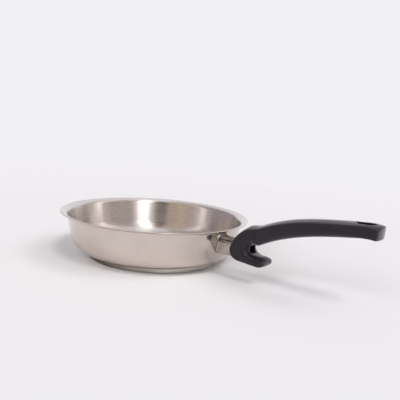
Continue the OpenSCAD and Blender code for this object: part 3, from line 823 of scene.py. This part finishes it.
screw_tilt = radians(6)
seat_in = 15 * mm
seat_rise = 2 * mm
seat = np.array([nose_x + seat_in, 0, sleeve_z + seat_rise])
screw_axis = np.array([cos(screw_tilt), 0, sin(screw_tilt)])
screw_side = np.array([0, 1.0, 0])
screw_up = np.cross(screw_axis, screw_side)
bore_r = 6.4 * mm
hole_r = 2.9 * mm
hole_len = 15 * mm
bore_len = 0.5 * guard_len - seat_in + bore_r / 2
seam_slant = radians(40)
seam_share = 0.197
seam_half = 0.08 * fit
seam_spare = 2.5 * mm
core_share = 0.6
core_w = 15 * mm
core_h = 8 * mm
core_past = 15 * mm
tongue_len = 12 * mm
past = 5 * mm

seam_mid = (arm_top(seam_share) + arm_low(seam_share)) / 2
core_mid = (arm_top(core_share) + arm_low(core_share)) / 2
core_run = float(np.linalg.norm(seam_mid - core_mid))
core_tilt = atan2(seam_mid[1] - core_mid[1], seam_mid[0] - core_mid[0])
core_axis = np.array([cos(core_tilt), 0, sin(core_tilt)])
core_up = np.array([-sin(core_tilt), 0, cos(core_tilt)])
side = np.array([0, 1.0, 0])
seam_place = np.array([seam_mid[0], 0, seam_mid[1]])
seam_axis = np.array([cos(seam_slant), 0, sin(seam_slant)])
seam_up = np.array([-sin(seam_slant), 0, cos(seam_slant)])


def box_rings(low, high):
    """Two square rings that bound a box between two corners, for a cut or a tongue."""
    y = np.array([low[1], high[1], high[1], low[1]])
    z = np.array([low[2], low[2], high[2], high[2]])
    return np.array([np.stack([np.full(4, x), y, z], axis=1) for x in (low[0], high[0])])


def sleeve_bar(start, end, grow):
    """Rings of a bar with the sleeve's section, grown on every side."""
    count = 96
    section = round_rect(sleeve_w + 2 * grow, sleeve_h + 2 * grow, sleeve_corner_r + grow, 9)
    section = even_out(section, count)
    return np.array([np.stack([np.full(count, x), section[:, 0], sleeve_z + section[:, 1]], axis=1)
                     for x in (start, end)])


def combine(piece, tool, operation):
    """Boolean of a piece with a tool, applied at once; the tool is removed."""
    step = piece.modifiers.new("combine", "BOOLEAN")
    step.operation = operation
    step.solver = "EXACT"
    step.object = tool
    apply_modifiers(piece)
    bpy.data.objects.remove(tool)


def apply_modifiers(piece):
    """Turns the piece's modifiers into its mesh."""
    bpy.context.view_layer.update()
    done = piece.evaluated_get(bpy.context.evaluated_depsgraph_get())
    mesh = bpy.data.meshes.new_from_object(done)
    piece.modifiers.clear()
    piece.data = mesh


def soften_edges(piece, square):
    """Melts the edges of a moulding: an even mesh of small squares, smoothed a few times."""
    remesh = piece.modifiers.new("even", "REMESH")
    remesh.mode = "VOXEL"
    remesh.voxel_size = square
    melt = piece.modifiers.new("melt", "SMOOTH")
    melt.factor = 0.5
    melt.iterations = melt_rounds
    apply_modifiers(piece)
    piece.data.polygons.foreach_set("use_smooth", [True] * len(piece.data.polygons))


def mark_edges(piece, rounds=14):
    """Point attribute edge_wear: how far a point stands out from the mean of its surroundings, found by
    averaging each point with its neighbours a few times; 0 on flat places and 1 on the sharpest edges. It
    fades towards the seam, whose edges no hand rubs."""
    flat_share = 0.15
    mesh = piece.data
    count = len(mesh.vertices)
    co = np.empty(count * 3)
    mesh.vertices.foreach_get("co", co)
    normal = np.empty(count * 3)
    mesh.vertices.foreach_get("normal", normal)
    pair = np.empty(len(mesh.edges) * 2, int)
    mesh.edges.foreach_get("vertices", pair)
    co, normal, pair = co.reshape(-1, 3), normal.reshape(-1, 3), pair.reshape(-1, 2)
    ends = np.concatenate([pair, pair[:, ::-1]])
    degree = np.bincount(ends[:, 0], minlength=count)
    mean = co.copy()
    for _ in range(rounds):
        near = np.stack([np.bincount(ends[:, 0], weights=mean[ends[:, 1], k], minlength=count)
                         for k in range(3)], axis=1)
        mean = (mean + near) / (1 + degree[:, None])
    proud = np.einsum("ij,ij->i", co - mean, normal)
    sharpest = np.quantile(proud, 0.995)
    wear = np.clip((proud - flat_share * sharpest) / ((1 - flat_share) * sharpest), 0, 1)
    wear = wear * np.clip(np.abs((co - seam_place) @ seam_axis) / seam_spare, 0, 1) ** 2
    mesh.attributes.new("edge_wear", "FLOAT", "POINT").data.foreach_set("value", wear.astype(np.float32))


slot_len = 22.5 * mm
slot_w = 17 * mm
slot_inset = 19.1 * mm
slot_x = end_x - slot_inset
mouth_r = 1.8 * mm


def surface_z(x, y, top):
    """Height of the cap's arched top, or of its flat underside, over a point (x, y)."""
    t = np.linspace(0, 0.6, 400)
    rail = arm_top(t) if top else arm_low(t)
    z = np.interp(x, rail[::-1, 0], rail[::-1, 1])
    arch = top_crown * (1 - np.minimum(np.abs(y) / (end_w / 2), 1) ** 2)
    return z + arch if top else z


def slot_ring(outwards, top, deeper):
    """Ring of the slot: two half circles and straight sides, outwards from the slot's own outline, at a
    depth from the cap's top, or from its underside."""
    straight = (slot_len - slot_w) / 2
    radius = slot_w / 2 + outwards
    outline = even_out(np.concatenate([arc((straight, 0), radius, -pi / 2, pi / 2, 40),
                                       arc((-straight, 0), radius, pi / 2, 3 * pi / 2, 40)]), 120)
    z = surface_z(slot_x + outline[:, 0], outline[:, 1], top) + (-deeper if top else deeper)
    return np.stack([slot_x + outline[:, 0], outline[:, 1], z], axis=1)


bend = np.linspace(0, pi / 2, 8)
rings = [slot_ring(mouth_r + past / 2, True, -past)]
rings += [slot_ring(mouth_r * (1 - sin(a)), True, mouth_r * (1 - cos(a))) for a in bend]
rings += [slot_ring(mouth_r * (1 - sin(a)), False, mouth_r * (1 - cos(a))) for a in bend[::-1]]
rings += [slot_ring(mouth_r + past / 2, False, -past)]
slot_cut = np.array(rings)

# Cut away: all past the seam, the sleeve's socket, the screw's hole and its bore, the core and the slot
handle = skin("handle_grip_moulding", handle_rings)
reach = 0.3
cuts = [
    placed(box_rings((-seam_half, -reach, -reach), (2 * reach, reach, reach)),
           seam_place, seam_axis, side, seam_up),
    sleeve_bar(nose_x - 2 * past, sleeve_end_x + fit, fit),
    placed(tube(hole_r, -hole_len, past), seat, screw_side, -screw_up, screw_axis),
    placed(tube(bore_r, 0, bore_len), seat, screw_side, -screw_up, screw_axis),
    placed(box_rings((-core_run, -core_w / 2, -core_h / 2), (core_past, core_w / 2, core_h / 2)),
           seam_place, core_axis, side, core_up),
    slot_cut]
for k, cut in enumerate(cuts):
    combine(handle, skin(f"cut_{k}", cut), "DIFFERENCE")
soften_edges(handle, grip_square)
mark_edges(handle)

# Black phenolic, moulded in a spark-eroded tool: a fine even grain, a faint purple cast, and edges
# that hands have polished
resin = (0.0040, 0.0022, 0.0058, 1)
resin_worn = (0.024, 0.021, 0.026, 1)

moulded_grain, given, result = new_group("moulded_grain", {"Grain size": 0.0004}, ["Grain", "Flow"])
place = object_place(moulded_grain)
one_over = join_node(moulded_grain, "Math", {0: 1.0, 1: given["Grain size"]}, operation="DIVIDE").outputs[0]
fine = join_node(moulded_grain, "TexNoise", {"Vector": place, "Scale": one_over, "Detail": 2.0})
moulded_grain.links.new(fine.outputs["Fac"], result["Grain"])
flow = join_node(moulded_grain, "TexNoise", {"Vector": place, "Scale": 45.0, "Detail": 4.0,
                                             "Distortion": 0.8}).outputs["Fac"]
moulded_grain.links.new(vary(moulded_grain, flow, 0, 1, 0.35, 0.65), result["Flow"])

material, tree, shader = new_material("black_phenolic", ior=1.43, sheen_weight=0.70, sheen_roughness=0.38)
shader.inputs["Sheen Tint"].default_value = (0.97, 0.93, 1.0, 1)
grain = place_group(tree, moulded_grain, Grain_size=0.00045)
marks = place_group(tree, use_marks, Smudge_size=0.02, Scratch_size=0.007)
wear = join_node(tree, "Attribute", attribute_name="edge_wear").outputs["Fac"]
plain = blend_colours(tree, grain["Flow"], resin, shade(resin, 1.25))
colour = blend_colours(tree, wear, plain, resin_worn)
rough = add_up(tree, vary(tree, grain["Flow"], 0.38, 0.44), vary(tree, wear, 0.0, -0.05))
rough = add_up(tree, rough, vary(tree, marks["Smudges"], 0.0, -0.05))
coat(tree, shader, colour, rough, grain["Grain"], 0.04 * mm)
phenolic = material
handle.data.materials.append(phenolic)

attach(handle, "root")
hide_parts("handle_grip")

# End cap: a second moulding in the same resin that closes the handle's hollow core. Its tongue snaps
# into the core, and the hanging slot goes right through it with softly rounded mouths.
cap_square = 0.4 * mm

end_cap = skin("handle_end_cap", handle_rings)
keep = placed(box_rings((seam_half, -reach, -reach), (2 * reach, reach, reach)),
              seam_place, seam_axis, side, seam_up)
combine(end_cap, skin("keep", keep), "INTERSECT")
tongue_low = (-tongue_len, fit - core_w / 2, fit - core_h / 2)
tongue_high = (core_h / 2, core_w / 2 - fit, core_h / 2 - fit)
tongue = placed(box_rings(tongue_low, tongue_high), seam_place, core_axis, side, core_up)
combine(end_cap, skin("tongue", tongue), "UNION")
combine(end_cap, skin("slot", slot_cut), "DIFFERENCE")
soften_edges(end_cap, cap_square)
mark_edges(end_cap)
end_cap.data.materials.append(phenolic)

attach(end_cap, "root")
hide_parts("end_cap")

# Handle screw, spring washer and flat washer: steel with a black oxide skin, deep in the notch's bore. The
# screw has a domed head with a cross recess and a rolled thread that ends in the boss.
screw_r = 2.5 * mm
head_r = 4.3 * mm
head_h = 3.2 * mm
head_edge = 0.2 * mm
bevel_w = 0.06 * mm
washer_r = 6 * mm
washer_t = 1 * mm
spring_r = 4.4 * mm
spring_t = 1.3 * mm
thread_pitch = 0.8 * mm
thread_depth = 0.45 * mm
washer_fit = 0.12 * mm
washer_edge_r = 0.15 * mm
spring_edge_r = 0.12 * mm
spring_rise = 0.1 * mm
gap_angle = 0.12
recess_half = 2.5 * mm
recess_depth = 1.9 * mm
recess_foot_share = 0.45
arm_half_w = 0.55 * mm
arm_half_low = 0.4 * mm
black_oxide = (0.09, 0.09, 0.10, 1)
rubbed_steel = (0.30, 0.30, 0.31, 1)

screw_low_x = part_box("handle_screw")[0].x
shank_len = (seat[0] - screw_low_x) / cos(screw_tilt) - screw_r * tan(screw_tilt)
under_head = washer_t + spring_t
hole_in_washer_r = screw_r + washer_fit


def on_seat(rings):
    """The same rings with their Z axis along the screw, from the washer's seat outwards."""
    return placed(rings, seat, screw_side, -screw_up, screw_axis)


# The thread's groove is a triangle wave along the turn, held flat at crest and root. The tip narrows
a = np.linspace(0, 2 * pi, 64, endpoint=False)
shank_z = np.linspace(-shank_len, under_head, 420)
turn_share = (shank_z[:, None] / thread_pitch - a[None] / (2 * pi)) % 1
groove = thread_depth * np.clip(np.abs(2 * turn_share - 1) * 1.3 - 0.15, 0, 1)
run_in = np.clip((shank_z + shank_len) / (1.5 * thread_pitch), 0.25, 1)[:, None]
shank_r = (screw_r - groove) * run_in ** 0.5
shank = np.stack([shank_r * np.cos(a), shank_r * np.sin(a), shank_z[:, None] + 0 * a], axis=-1)
dome = arc((0, 0), 1, 0.12, pi / 2 - 0.05, 14) * np.array([head_r, head_h])
head_section = np.concatenate([[[screw_r, 0], [head_r - head_edge, 0]], dome]) + np.array([0, under_head])
screw = skin("handle_screw_threaded", on_seat(np.concatenate([shank, spin(head_section, 64)])))

# Each arm of the cross is a bar that narrows downwards; the second lies across the first
recess_low = under_head + head_h - recess_depth
recess_high = under_head + head_h + mm
u = np.array([1, 1, -1, -1]) * recess_half
v = np.array([-1, 1, 1, -1]) * arm_half_w
low = np.stack([u * recess_foot_share, v * arm_half_low / arm_half_w, np.full(4, recess_low)], axis=1)
high = np.stack([u, v, np.full(4, recess_high)], axis=1)
arm = np.array([low, high])
for rings in (arm, arm[..., [1, 0, 2]]):
    combine(screw, skin("recess", on_seat(rings)), "DIFFERENCE")
bevel = screw.modifiers.new("bevel", "BEVEL")
bevel.width = bevel_w
bevel.limit_method = "ANGLE"
bevel.angle_limit = radians(50)
apply_modifiers(screw)


def washer_section(inner, outer, low, high, edge):
    """Half section of a washer with rounded edges, as a closed loop."""
    corners = [(outer - edge, high - edge, 0), (inner + edge, high - edge, 1),
               (inner + edge, low + edge, 2), (outer - edge, low + edge, 3)]
    return np.concatenate([arc((r, z), edge, k * pi / 2, (k + 1) * pi / 2, 5) for r, z, k in corners])


section = washer_section(hole_in_washer_r, washer_r, 0, washer_t, washer_edge_r)
flat_washer = skin("flat_washer_turned", on_seat(spin(section, 72)), closed=True)

# The spring washer is split and rises a little on its way round
section = washer_section(hole_in_washer_r, spring_r, washer_t, under_head - spring_rise, spring_edge_r)
a = np.linspace(gap_angle, 2 * pi - gap_angle, 90)[:, None]
lift = spring_rise * a / (2 * pi)
spring = np.stack([section[:, 0] * np.cos(a), section[:, 0] * np.sin(a), section[:, 1] + lift], axis=-1)
spring_washer = skin("spring_washer_split", on_seat(spring))

material, tree, shader = new_material("blackened_steel", metallic=1.0)
marks = place_group(tree, use_marks, Smudge_size=0.003, Scratch_size=0.003)
colour = blend_colours(tree, marks["Scratches"], black_oxide, rubbed_steel)
coat(tree, shader, colour, vary(tree, marks["Smudges"], 0.35, 0.5), marks["Scratches"], 0.01 * mm)
for piece, node in ((screw, "handle_screw"), (flat_washer, "flat_washer"), (spring_washer, "spring_washer")):
    piece.data.materials.append(material)
    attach(piece, "root")
    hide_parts(node)

bpy.context.view_layer.update()
